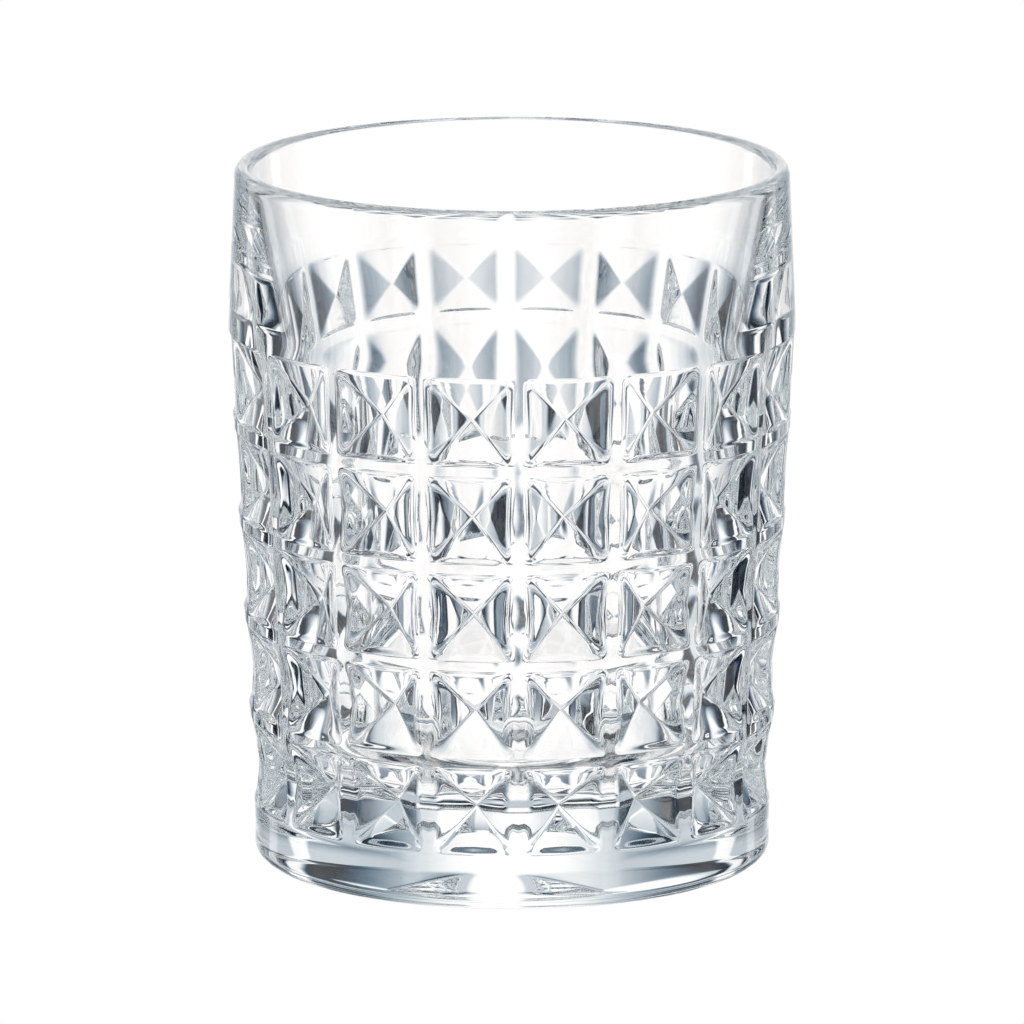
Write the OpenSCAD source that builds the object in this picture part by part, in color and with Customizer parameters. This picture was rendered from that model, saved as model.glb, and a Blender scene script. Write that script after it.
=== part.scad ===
// Cut-pattern whiskey tumbler, pressed from one piece of clear glass.
// +Z is up. The origin is the centre of the ring that the glass rests on.

/* [Overall size] */
// Height from the table to the top of the rim
glass_h = 95; // [85:0.5:110]
// Outer radius of the glass just under the rounded rim
rim_r = 37.45; // [36.2:0.05:39]
// Radius over the ribs at the top of the cut pattern
shoulder_r = 38.35; // [37:0.05:41]
// Radius over the ribs at the bottom of the cut pattern, and of the foot band
foot_r = 35.05; // [33:0.05:38]

/* [Cut pattern] */
// Number of cut cells round the glass
columns = 18; // [14:1:24]
// Number of rows of cut cells
rows = 5; // [3:1:6]
// Height of the plain foot band under the pattern
foot_h = 7.05; // [5:0.05:10]
// Height of one row of cells, rib to rib
row_h = 13.3; // [11:0.1:14]
// Width of the upright ribs between the columns
upright_rib_w = 2; // [0.8:0.1:2.6]
// Width of the level ribs between the rows
level_rib_w = 1.8; // [0.8:0.1:2.6]
// Radius of the cut point in the top row
top_cut_r = 35.7; // [34.5:0.1:37]
// Radius of the cut point in the bottom row
bottom_cut_r = 31.4; // [30:0.1:33]
// Angle from the front, at -Y, to the nearest upright rib
rib_turn = 1.4; // [-10:0.1:10]

/* [Inside] */
// Radius of the inside just under the rounded rim
mouth_r = 35.05; // [33:0.05:36]
// Height of the rounded rim
lip_h = 1.6; // [0.8:0.1:2.4]
// Inside radius at the bottom, where the floor's rounded corner ends
well_r = 29.3; // [27:0.1:30]
// Angle that the wall of the well leans from upright
well_lean = 2.4; // [0:0.1:4]
// Height at which the well starts to ease out towards the mouth
open_from = 54; // [25:1:70]
// Thickness of the solid glass under the drink
floor_t = 11.8; // [10:0.1:16]
// Radius of the rounded corner between wall and floor
floor_fillet = 6; // [3:0.5:9]

/* [Underside] */
// Radius of the rounded bottom corner
heel_r = 2; // [1:0.1:5]
// Depth of the shallow dish that leaves a ring to stand on
dish_depth = 0.8; // [0.3:0.1:1.5]
// Outer radius of the dish
dish_r = 26; // [22:0.5:29]

/* [Hidden] */
$fn = 96;
glass_tint = [0.86, 0.90, 0.90, 0.5];
pattern_top = foot_h + rows * row_h;
lip_r = (rim_r - mouth_r) / 2;
well_z = floor_t + floor_fillet;
cell_angle = 360 / columns;
half_cell = cell_angle / 2;
lip_z = glass_h - lip_h;
// The inside is cut this far past the rim
cut_reach = 3;
// The corners of each cutter stand this far proud of the ribs, for a clean cut
corner_lift = 0.1;
arc_steps = 10;
wall_steps = 20;

// Straight interpolation between a and b
function mix(a, b, t) = a + (b - a) * t;

// Points on a circular arc in the radius-height plane, from angle a0 to a1
function arc(cr, cz, r, a0, a1) =
    [for (i = [0:arc_steps]) let (a = mix(a0, a1, i / arc_steps)) [cr + r * cos(a), cz + r * sin(a)]];

// Radius over the ribs at height z
function rib_radius(z) = mix(foot_r, shoulder_r, (z - foot_h) / (pattern_top - foot_h));

// Radius of the cut point in the row with index i, counted from the bottom
function cut_radius(i) = mix(bottom_cut_r, top_cut_r, i / (rows - 1));

// Point on the rounded rim, half an ellipse: 0 degrees is outside, 180 inside
function lip_point(a) = [rim_r - lip_r + lip_r * cos(a), lip_z + lip_h * sin(a)];

// The wall of the well leans out evenly, and above open_from it eases out to the mouth
function lean_radius(z) = well_r + tan(well_lean) * (z - well_z);
function ease(t) = t * t * (3 - 2 * t);
function well_radius(z) =
    lean_radius(z) + (mouth_r - lean_radius(lip_z)) * ease((z - open_from) / (lip_z - open_from));

// Outer shape over the ribs, up to the top of the rim, as radius and height
outer_profile = concat(
    [[0, 0], [foot_r - heel_r, 0]],
    arc(foot_r - heel_r, heel_r, heel_r, -90, 0),
    [[foot_r, foot_h], [shoulder_r, pattern_top]],
    [for (i = [0:arc_steps]) lip_point(90 * i / arc_steps)],
    [[0, glass_h]]
);

// Inside of the glass as radius and height
inner_profile = concat(
    [[0, floor_t], [well_r - floor_fillet, floor_t]],
    arc(well_r - floor_fillet, well_z, floor_fillet, -90, 0),
    [for (i = [0:wall_steps]) let (z = mix(open_from, lip_z, i / wall_steps)) [well_radius(z), z]],
    [for (i = [1:arc_steps]) lip_point(180 - 90 * i / arc_steps)],
    [[rim_r - lip_r, glass_h + cut_reach], [0, glass_h + cut_reach]]
);

// A four-sided pyramid lying on its side, with its point at radius tip_r and its
// base at the rib edges: at the heights low and high, and side degrees off the
// cell's middle. Past its base it is cut off level at low and high, while its
// upright faces carry on in their own planes.
module cell_cut(tip_r, low, high, side) {
    low_r = rib_radius(low) + corner_lift;
    high_r = rib_radius(high) + corner_lift;
    mid_r = (low_r + high_r) / 2;
    reach_x = mid_r * cos(side) - tip_r;
    reach_y = mid_r * sin(side);
    base = [
        [low_r * cos(side), -low_r * sin(side), low],
        [low_r * cos(side), low_r * sin(side), low],
        [high_r * cos(side), high_r * sin(side), high],
        [high_r * cos(side), -high_r * sin(side), high]
    ];
    outer = [
        base[0] + [reach_x, -reach_y, 0],
        base[1] + [reach_x, reach_y, 0],
        base[2] + [reach_x, reach_y, 0],
        base[3] + [reach_x, -reach_y, 0]
    ];
    tip = [tip_r, 0, (low + high) / 2];
    polyhedron(
        points = concat([tip], base, outer),
        faces = [
            [0, 1, 2], [0, 3, 4],
            [0, 2, 6, 7, 3], [0, 4, 8, 5, 1],
            [1, 5, 6, 2], [3, 7, 8, 4],
            [8, 7, 6, 5]
        ]
    );
}

// One row of cells round the glass
module cut_row(index) {
    low = foot_h + index * row_h + level_rib_w / 2;
    high = foot_h + (index + 1) * row_h - level_rib_w / 2;
    side = half_cell - asin(upright_rib_w / 2 / rib_radius(low));
    for (c = [0:columns - 1])
        rotate([0, 0, rib_turn - 90 + (c + 0.5) * cell_angle])
            cell_cut(cut_radius(index), low, high, side);
}

// Shallow dish under the base, part of a large sphere
module base_dish() {
    dish_sphere_r = (dish_r * dish_r + dish_depth * dish_depth) / (2 * dish_depth);
    translate([0, 0, dish_depth - dish_sphere_r])
        rotate_extrude()
            intersection() {
                circle(r = dish_sphere_r);
                translate([0, dish_sphere_r - dish_depth - 1])
                    square([dish_r + 1, dish_depth + 2]);
            }
}

module tumbler() {
    color(glass_tint)
        difference() {
            rotate_extrude()
                polygon(outer_profile);
            for (i = [0:rows - 1])
                cut_row(i);
            rotate_extrude()
                polygon(inner_profile);
            base_dish();
        }
}

tumbler();
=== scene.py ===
"""Looks of the cut-pattern whiskey tumbler: one seamless piece of clear pressed glass.

Design lengths are in millimetres and are turned into metres where a mesh or an
object is made.
"""
import math
from functools import partial

import bpy
import numpy as np
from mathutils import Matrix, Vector


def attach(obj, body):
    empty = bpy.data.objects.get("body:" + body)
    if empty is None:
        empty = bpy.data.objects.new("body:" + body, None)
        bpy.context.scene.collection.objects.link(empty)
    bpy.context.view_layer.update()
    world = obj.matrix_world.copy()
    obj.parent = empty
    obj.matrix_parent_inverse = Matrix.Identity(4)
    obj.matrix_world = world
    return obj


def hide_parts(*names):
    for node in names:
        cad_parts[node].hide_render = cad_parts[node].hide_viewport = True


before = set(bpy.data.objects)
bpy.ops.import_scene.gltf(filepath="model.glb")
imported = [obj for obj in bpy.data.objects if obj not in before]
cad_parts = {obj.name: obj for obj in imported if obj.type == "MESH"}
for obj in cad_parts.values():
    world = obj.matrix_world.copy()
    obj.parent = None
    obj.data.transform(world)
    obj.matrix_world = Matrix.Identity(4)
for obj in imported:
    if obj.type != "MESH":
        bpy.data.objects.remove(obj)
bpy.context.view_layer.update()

scene = bpy.context.scene

# ---------------------------------------------------------------- design, mm
MM = 0.001
GLASS_H = 95.0
RIM_R = 37.45
SHOULDER_R = 38.35
FOOT_R = 35.05
COLUMNS = 18
ROWS = 5
FOOT_H = 7.05
ROW_H = 13.3
UPRIGHT_RIB_W = 2.0
LEVEL_RIB_W = 1.8
TOP_CUT_R = 35.7
BOTTOM_CUT_R = 31.4
RIB_TURN = 1.4            # degrees, front rib's angle from -Y
MOUTH_R = 35.05
LIP_H = 1.6
WELL_R = 29.3
WELL_LEAN = 2.4           # degrees, the well wall's lean from upright
OPEN_FROM = 54.0          # height at which the inside starts to open out
FLOOR_T = 11.8
FLOOR_FILLET = 6.0
HEEL_R = 2.0
DISH_DEPTH = 0.8
DISH_R = 26.0

PATTERN_TOP = FOOT_H + ROWS * ROW_H
LIP_R = (RIM_R - MOUTH_R) / 2
LIP_Z = GLASS_H - LIP_H
HALF_CELL = math.pi / COLUMNS     # angles are in radians from here on
FIRST_CELL = math.radians(RIB_TURN - 90) + HALF_CELL
SIDE = HALF_CELL - UPRIGHT_RIB_W / 2 / ((FOOT_R + SHOULDER_R) / 2)
HALF_OPEN = (ROW_H - LEVEL_RIB_W) / 2
WALL_SLOPE = 1.6          # of the short step under and over each level rib
VALLEY_SOFT = 0.07        # valley rounding, as a share of the cell's depth
RIB_SOFT = 0.14           # rib rounding, as a share of the cell's depth
KNOT_R = 1.75             # ribs widen to a cone of this radius where they cross
SAG_FROM = 2.2            # upright ribs sink between knots in cells deeper than this,
CREST_SAG = 0.4           # by this share of the rest of the depth
SHOULDER_SOFT = 0.12      # rounding where the foot band, pattern and top band meet

SLOPE_STEP = 1e-4         # mm or radians either side of a point, to find a slope
MERGE_GRID = 2e4          # steps a millimetre of the grid that merges equal points


def mix(a, b, t):
    return a + (b - a) * t


def smooth_max(a, b, soft):
    """The larger of a and b, rounded where they differ by less than soft."""
    near = np.maximum(soft - np.abs(a - b), 0.0)
    return np.maximum(a, b) + near * near / (4 * soft)


def smooth_min(a, b, soft):
    return -smooth_max(-a, -b, soft)


def rib_radius(z):
    """Radius over the ribs at height z, in the cut pattern."""
    return mix(FOOT_R, SHOULDER_R, (z - FOOT_H) / (PATTERN_TOP - FOOT_H))


def envelope(z):
    """Radius of the uncut outside at height z, from the heel's top to the lip."""
    band = mix(SHOULDER_R, RIM_R, (z - PATTERN_TOP) / (LIP_Z - PATTERN_TOP))
    lower = smooth_max(rib_radius(z), np.full_like(z, FOOT_R), SHOULDER_SOFT)
    return smooth_min(lower, band, SHOULDER_SOFT)


def plane_radius(normal, offset, angle, z):
    """Distance from the axis at which a level ray at this angle meets a plane."""
    run = normal[0] * np.cos(angle) + normal[1] * np.sin(angle)
    return (offset - normal[2] * z) / run


def cell_planes(row):
    """The four facets of a cell of this row, as unit normals and offsets."""
    middle = FOOT_H + (row + 0.5) * ROW_H
    tip = np.array([mix(BOTTOM_CUT_R, TOP_CUT_R, row / (ROWS - 1)), 0.0, middle])
    low_r, high_r = rib_radius(middle - HALF_OPEN), rib_radius(middle + HALF_OPEN)
    corners = [
        np.array([low_r * math.cos(SIDE), -low_r * math.sin(SIDE), middle - HALF_OPEN]),
        np.array([low_r * math.cos(SIDE), low_r * math.sin(SIDE), middle - HALF_OPEN]),
        np.array([high_r * math.cos(SIDE), high_r * math.sin(SIDE), middle + HALF_OPEN]),
        np.array([high_r * math.cos(SIDE), -high_r * math.sin(SIDE), middle + HALF_OPEN]),
    ]
    planes = []
    for i in range(4):
        normal = np.cross(corners[i] - tip, corners[(i + 1) % 4] - tip)
        normal /= np.linalg.norm(normal) * math.copysign(1.0, normal[0])
        planes.append((normal, float(normal @ tip)))
    return tip, planes


def cut_radius(row, angle, z):
    """Outer radius inside a cell of this row; angle is from the cell's middle."""
    tip, planes = cell_planes(row)
    middle = tip[2]
    depth = float(rib_radius(middle)) - tip[0]
    soft = VALLEY_SOFT * depth
    facets = [plane_radius(n, c, angle, z) for n, c in planes]
    uprights = np.maximum(facets[1], facets[3])
    levels = np.maximum(facets[0], facets[2])
    carved = smooth_max(uprights, levels, soft)
    outside = envelope(z)
    step = outside + WALL_SLOPE * (np.abs(z - middle) - HALF_OPEN)
    carved = smooth_max(carved, step, 2 * soft)
    to_knot = np.hypot((HALF_CELL - np.abs(angle)) * outside, ROW_H / 2 - np.abs(z - middle))
    knot = outside + depth / HALF_OPEN * (KNOT_R - to_knot)
    carved = smooth_max(carved, knot, 2 * soft)
    sag = CREST_SAG * (depth - SAG_FROM)
    along = np.clip(np.abs(z - middle) / (ROW_H / 2), 0, 1)
    crest = outside - sag * (1 - along * along) ** 2
    return smooth_min(carved, crest, RIB_SOFT * depth)


def outward_normals(radius_at, angle, z):
    """Normals of the surface radius_at(angle, z), by central differences."""
    h = SLOPE_STEP
    r = radius_at(angle, z)
    by_angle = (radius_at(angle + h, z) - radius_at(angle - h, z)) / (2 * h)
    by_height = (radius_at(angle, z + h) - radius_at(angle, z - h)) / (2 * h)
    n = np.stack([
        r * np.cos(angle) + by_angle * np.sin(angle),
        r * np.sin(angle) - by_angle * np.cos(angle),
        -r * by_height,
    ], -1)
    return n / np.linalg.norm(n, axis=-1, keepdims=True)


# ------------------------------------------------------------ mesh of a cell
# A cell is meshed flat first, in square rings round its middle, where 1 is the
# half size of its opening. ALONG holds the offsets of a ring's points from its
# corners, and RINGS the rings' half sizes, both close-set where the surface turns.
ALONG = np.array([0, 0.13, 0.26, 0.39, 0.55, 0.75, 1.0, 1.4, 2.5]) / HALF_OPEN
RINGS = np.array([0.12, 0.24, 0.36, 0.55, 0.9, 1.5, 2.4, 3.4, 4.3, 4.9, 5.15, 5.3,
                  5.42, 5.54, 5.66, 5.78, 5.9, 6.05, 6.25, 6.45, 6.65]) / HALF_OPEN
EDGE_RING = ROW_H / 2 / HALF_OPEN
HALF_SIDE = len(ALONG)


def ring_side(size):
    """Positions across one side of a ring, from corner to corner."""
    even = np.linspace(0, 1, HALF_SIDE + 1) * size
    inset = np.minimum(np.append(ALONG, size), even)
    left = -size + inset
    return np.concatenate([left, -left[-2::-1]])


def cell_grid():
    """Flat coordinates of a cell's points, ring by ring, and its faces."""
    points = [(0.0, 0.0)]
    count = 8 * HALF_SIDE
    for size in RINGS:
        side = ring_side(size)[:-1]
        full = np.full_like(side, size)
        for p, q in ((side, -full), (full, side), (-side, full), (-full, -side)):
            points += list(zip(p, q))
    faces = [(0, 1 + i, 1 + (i + 1) % count) for i in range(count)]
    for ring in range(len(RINGS) - 1):
        a, b = 1 + ring * count, 1 + (ring + 1) * count
        for i in range(count):
            j = (i + 1) % count
            faces.append((a + i, b + i, b + j, a + j))
    return np.array(points), faces


def past_opening(flat):
    """Share of the way from the opening's edge to the middle of the rib."""
    return (np.abs(flat) - 1) / (EDGE_RING - 1)


def cell_places(row, flat):
    """Angle from the cell's middle and height of each flat point."""
    tip, _ = cell_planes(row)
    p, q = flat[:, 0], flat[:, 1]
    ring = np.maximum(np.abs(p), np.abs(q))
    inner = np.minimum(ring, 1.0)
    scale = np.where(ring > 1, 1.0, np.maximum(ring, 1e-9))
    over_rib = np.sign(q) * (HALF_OPEN + past_opening(q) * LEVEL_RIB_W / 2)
    z = tip[2] + np.where(np.abs(q) > 1, over_rib, q * HALF_OPEN)
    base_r = rib_radius(tip[2] + np.clip(q / scale, -1, 1) * HALF_OPEN)
    x = tip[0] + inner * (base_r * math.cos(SIDE) - tip[0])
    y = inner * np.clip(p / scale, -1, 1) * base_r * math.sin(SIDE)
    beside_rib = np.sign(p) * (SIDE + past_opening(p) * (HALF_CELL - SIDE))
    return np.where(np.abs(p) > 1, beside_rib, np.arctan2(y, x)), z


class Glass:
    """Collects points with their normals, and faces, for one closed mesh."""

    def __init__(self):
        self.points, self.normals, self.faces, self.count = [], [], [], 0

    def add(self, points, normals, faces):
        self.points.append(points)
        self.normals.append(normals)
        self.faces += [tuple(i + self.count for i in f) for f in faces]
        self.count += len(points)

    def build(self, name):
        """Merges equal points, which closes the seams, and makes the object."""
        points = np.concatenate(self.points)
        normals = np.concatenate(self.normals)
        _, first, same = np.unique(np.round(points * MERGE_GRID).astype(np.int64), axis=0,
                                   return_index=True, return_inverse=True)
        same = same.ravel()
        faces = []
        for f in self.faces:
            merged = [int(same[i]) for i in f]
            merged = [v for k, v in enumerate(merged) if v != merged[k - 1]]
            if len(merged) > 2:
                faces.append(merged)
        mesh = bpy.data.meshes.new(name)
        mesh.from_pydata((points[first] * MM).tolist(), [], faces)
        mesh.validate()
        mesh.shade_smooth()
        mesh.normals_split_custom_set_from_vertices(normals[first].tolist())
        piece = bpy.data.objects.new(name, mesh)
        scene.collection.objects.link(piece)
        return piece


def turned(angle, radius, z):
    """Points at these angles, distances from the axis and heights."""
    return np.stack([radius * np.cos(angle), radius * np.sin(angle), z], -1)


def turn_normals(n, by):
    """Normals turned by this angle about the axis."""
    c, s = math.cos(by), math.sin(by)
    return np.stack([n[:, 0] * c - n[:, 1] * s, n[:, 0] * s + n[:, 1] * c, n[:, 2]], -1)


def add_cells(glass):
    """The cut pattern: each row's cell is worked out once and repeated round."""
    flat, faces = cell_grid()
    for row in range(ROWS):
        angle, z = cell_places(row, flat)
        radius = cut_radius(row, angle, z)
        normals = outward_normals(partial(cut_radius, row), angle, z)
        for column in range(COLUMNS):
            by = FIRST_CELL + column * 2 * HALF_CELL
            glass.add(turned(angle + by, radius, z), turn_normals(normals, by), faces)


# --------------------------------------------------- mesh of the turned parts
def ring_angles():
    """The angles of the pattern's edge points, all the way round."""
    side = ring_side(EDGE_RING)[:-1]
    edge = np.stack([side, np.full_like(side, EDGE_RING)], -1)
    angle, _ = cell_places(0, edge)
    return np.concatenate([angle + FIRST_CELL + c * 2 * HALF_CELL for c in range(COLUMNS)])


def add_lathe(glass, profile, angles):
    """Turns a profile of (radius, height, normal radius, normal height) rows."""
    n = len(angles)
    points, normals, faces = [], [], []
    for r, z, nr, nz in profile:
        points.append(turned(angles, np.full(n, r), np.full(n, z)))
        length = math.hypot(nr, nz)
        normals.append(turned(angles, np.full(n, nr / length), np.full(n, nz / length)))
    for i in range(len(profile) - 1):
        for j in range(n):
            k = (j + 1) % n
            faces.append((i * n + j, i * n + k, (i + 1) * n + k, (i + 1) * n + j))
    glass.add(np.concatenate(points), np.concatenate(normals), faces)


def curve(radius_at, z, outward):
    """Profile rows along r = radius_at(z); outward is 1, or -1 for an inside."""
    h = SLOPE_STEP
    slope = (radius_at(z + h) - radius_at(z - h)) / (2 * h)
    return [(a, b, outward, -outward * s) for a, b, s in zip(radius_at(z), z, slope)]


def arc(cr, cz, r, a0, a1, steps, sign=1):
    """Profile rows on a circular arc; sign is -1 for a hollow corner."""
    rows = []
    for a in np.radians(np.linspace(a0, a1, steps + 1)):
        c, s = math.cos(a), math.sin(a)
        rows.append((cr + r * c, cz + r * s, sign * c, sign * s))
    return rows


def lip(steps):
    """Half an ellipse over the rim, from the outside to the inside."""
    rows = []
    for a in np.linspace(0, math.pi, steps + 1):
        c, s = math.cos(a), math.sin(a)
        rows.append((RIM_R - LIP_R + LIP_R * c, LIP_Z + LIP_H * s, c / LIP_R, s / LIP_H))
    return rows


def inside_radius(z):
    """Radius of the drink space: a leaning wall that eases out to the mouth."""
    lean = math.tan(math.radians(WELL_LEAN))
    opening = MOUTH_R - WELL_R - lean * (LIP_Z - FLOOR_T - FLOOR_FILLET)
    t = np.clip((z - OPEN_FROM) / (LIP_Z - OPEN_FROM), 0, 1)
    return WELL_R + lean * (z - FLOOR_T - FLOOR_FILLET) + opening * t * t * (3 - 2 * t)


def disc(height_at, radii, up):
    """Profile rows along z = height_at(r); up is 1, or -1 for an underside."""
    h = SLOPE_STEP
    rows = []
    for r in radii:
        slope = (height_at(r + h) - height_at(r - h)) / (2 * h)
        rows.append((r, height_at(r), -up * slope, up))
    return rows


def dish_height(r):
    """Height of the underside: a shallow dish, and flat on the resting ring."""
    return DISH_DEPTH * max(0.0, 1 - (r / DISH_R) ** 2)


# Steps along each stretch of the profile
BAND_STEPS = 21
LIP_STEPS = 24
OPENING_STEPS = 39
WELL_STEPS = 7
FILLET_STEPS = 16
FLOOR_STEPS = 9
DISH_STEPS = 15
REST_STEPS = 3
HEEL_STEPS = 14
FOOT_STEPS = 7


def spaced(start, end, steps):
    return np.linspace(start, end, steps + 1)


def make_tumbler():
    """The cut pattern, then the band, rim, inside, floor, underside and foot."""
    glass = Glass()
    add_cells(glass)
    well_foot = FLOOR_T + FLOOR_FILLET
    floor_r = WELL_R - FLOOR_FILLET
    heel_in = FOOT_R - HEEL_R
    opening = spaced(LIP_Z, OPEN_FROM, OPENING_STEPS)
    well = spaced(OPEN_FROM, well_foot, WELL_STEPS)[1:]
    inside = curve(inside_radius, np.concatenate([opening, well]), -1)
    fillet = arc(floor_r, well_foot, FLOOR_FILLET, 0, -90, FILLET_STEPS, -1)
    fillet[0] = inside[-1]
    angles = ring_angles()
    for profile in (
        curve(envelope, spaced(PATTERN_TOP, LIP_Z, BAND_STEPS), 1),
        lip(LIP_STEPS),
        inside,
        fillet,
        disc(lambda r: FLOOR_T, spaced(floor_r, 0, FLOOR_STEPS), 1),
        disc(dish_height, spaced(0, DISH_R, DISH_STEPS), -1),
        disc(dish_height, spaced(DISH_R, heel_in, REST_STEPS), -1),
        arc(heel_in, HEEL_R, HEEL_R, -90, 0, HEEL_STEPS),
        curve(envelope, spaced(HEEL_R, FOOT_H, FOOT_STEPS), 1),
    ):
        add_lathe(glass, profile, angles)
    return glass.build("tumbler_glass")


# ------------------------------------------------------------------ material
GLASS_IOR = 1.52
ABSORB_COLOUR = (0.86, 0.93, 0.93, 1)   # red is taken up twice as fast as the rest
ABSORB_DENSITY = 4.0


def clear_glass():
    """Polished glass that takes up a little light, red most of all."""
    mat = bpy.data.materials.new("clear_glass")
    mat.use_nodes = True
    nt = mat.node_tree
    p = nt.nodes["Principled BSDF"]
    p.inputs["Base Color"].default_value = (1, 1, 1, 1)
    p.inputs["Roughness"].default_value = 0.0
    p.inputs["IOR"].default_value = GLASS_IOR
    p.inputs["Transmission Weight"].default_value = 1.0
    absorb = nt.nodes.new("ShaderNodeVolumeAbsorption")
    absorb.inputs["Color"].default_value = ABSORB_COLOUR
    absorb.inputs["Density"].default_value = ABSORB_DENSITY
    nt.links.new(absorb.outputs[0], nt.nodes["Material Output"].inputs["Volume"])
    return mat


tumbler = make_tumbler()
tumbler.data.materials.append(clear_glass())
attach(tumbler, "root")
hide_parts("tumbler")


# --------------------------------------------------------------------- stage
FLOOR_DISC_R = 3.5        # metres
FLOOR_SIDES = 96


def make_floor():
    """A pure white disc, lit by itself, that the glass neither mirrors nor bends."""
    mesh = bpy.data.meshes.new("floor")
    turns = np.arange(FLOOR_SIDES) * 2 * math.pi / FLOOR_SIDES
    ring = turned(turns, np.full(FLOOR_SIDES, FLOOR_DISC_R), np.zeros(FLOOR_SIDES))
    mesh.from_pydata(ring.tolist(), [], [list(range(FLOOR_SIDES))])
    floor = bpy.data.objects.new("floor", mesh)
    scene.collection.objects.link(floor)
    mat = bpy.data.materials.new("white_floor")
    mat.use_nodes = True
    p = mat.node_tree.nodes["Principled BSDF"]
    p.inputs["Base Color"].default_value = (0, 0, 0, 1)
    p.inputs["Specular IOR Level"].default_value = 0.0
    p.inputs["Emission Color"].default_value = (1, 1, 1, 1)
    p.inputs["Emission Strength"].default_value = 1.0
    mesh.materials.append(mat)
    floor.visible_transmission = False
    floor.visible_glossy = False


make_floor()

# -------------------------------------------------------------- studio light
SKY = 1.1                 # strength of a white screen
DARK = 0.006              # strength of the dark between them
TABLE_LIGHT = 0.6         # what the table throws back from straight below
TINT = (1.24, 1.04, 0.88)     # powers that turn the fading light a cool grey
WIDE_FADE = (5.0, 31.0)   # degrees off the four main directions: white, then dark
SLIT_FADE = (2.5, 6.5)    # degrees off the four directions between: white, then dark
TOP_FADE = (26.0, 52.0)   # degrees above the horizon: white, then dark
HAZE = 0.6                # share of a screen's light in the gaps, higher up
HAZE_FADE = (14.0, 3.0)   # degrees above the horizon: the full share, then none
TABLE_FADE = (-74.0, -56.0)   # degrees from the horizon: table, then screens


def make_studio():
    """Four wide white screens, slits and haze between them, dark overhead."""
    world = bpy.data.worlds.new("studio")
    scene.world = world
    world.use_nodes = True
    nt = world.node_tree

    def link(value, socket):
        if isinstance(value, (int, float)):
            socket.default_value = value
        else:
            nt.links.new(value, socket)

    def maths(operation, *values):
        node = nt.nodes.new("ShaderNodeMath")
        node.operation = operation
        for value, socket in zip(values, node.inputs):
            link(value, socket)
        return node.outputs[0]

    def fade(value, start, end, before=1.0, after=0.0):
        """Eases from before, where value is start, to after, where it is end."""
        node = nt.nodes.new("ShaderNodeMapRange")
        node.interpolation_type = "SMOOTHSTEP"
        for v, name in ((value, "Value"), (start, "From Min"), (end, "From Max"),
                        (before, "To Min"), (after, "To Max")):
            link(v, node.inputs[name])
        return node.outputs[0]

    where = nt.nodes.new("ShaderNodeTexCoord")
    split = nt.nodes.new("ShaderNodeSeparateXYZ")
    nt.links.new(where.outputs["Generated"], split.inputs[0])
    x, y, z = split.outputs
    azimuth = maths("DEGREES", maths("ARCTAN2", y, x))
    height = maths("DEGREES", maths("ARCSINE", z))
    off_main = maths("PINGPONG", azimuth, 45.0)
    screens = fade(off_main, *WIDE_FADE)
    slits = fade(maths("SUBTRACT", 45.0, off_main), *SLIT_FADE)
    haze = maths("MULTIPLY", fade(height, *HAZE_FADE), HAZE)
    lit = maths("MAXIMUM", maths("MAXIMUM", screens, slits), haze)
    lit = maths("MULTIPLY", lit, fade(height, *TOP_FADE))
    strength = maths("MULTIPLY_ADD", lit, SKY - DARK, DARK)
    table = fade(height, *TABLE_FADE)
    strength = fade(table, 0.0, 1.0, strength, TABLE_LIGHT)
    direct = nt.nodes.new("ShaderNodeLightPath").outputs["Is Camera Ray"]
    colour = nt.nodes.new("ShaderNodeCombineXYZ")
    for power, channel in zip(TINT, colour.inputs):
        link(fade(direct, 0.0, 1.0, maths("POWER", strength, power), 1.0), channel)
    background = nt.nodes["Background"]
    background.inputs["Strength"].default_value = 1.0
    nt.links.new(colour.outputs[0], background.inputs["Color"])


make_studio()

# -------------------------------------------------------------------- camera
CAMERA_DISTANCE = 1.4     # metres from the point it aims at
CAMERA_ELEVATION = math.radians(12.0)
AIM_Z = 0.047
SENSOR = 36.0             # mm
LENS = 363.69             # mm
BOUNCES = 32              # for light inside the glass


def make_camera():
    data = bpy.data.cameras.new("camera")
    data.sensor_width = SENSOR
    data.lens = LENS
    data.clip_start = 0.1
    data.clip_end = 20
    camera = bpy.data.objects.new("camera", data)
    scene.collection.objects.link(camera)
    back = Vector((0, -math.cos(CAMERA_ELEVATION), math.sin(CAMERA_ELEVATION)))
    camera.location = Vector((0, 0, AIM_Z)) + back * CAMERA_DISTANCE
    camera.rotation_euler = (math.pi / 2 - CAMERA_ELEVATION, 0, 0)
    scene.camera = camera


make_camera()
scene.view_settings.view_transform = "Standard"
scene.cycles.max_bounces = BOUNCES
scene.cycles.transmission_bounces = BOUNCES
scene.cycles.glossy_bounces = BOUNCES
scene.cycles.transparent_max_bounces = BOUNCES // 2
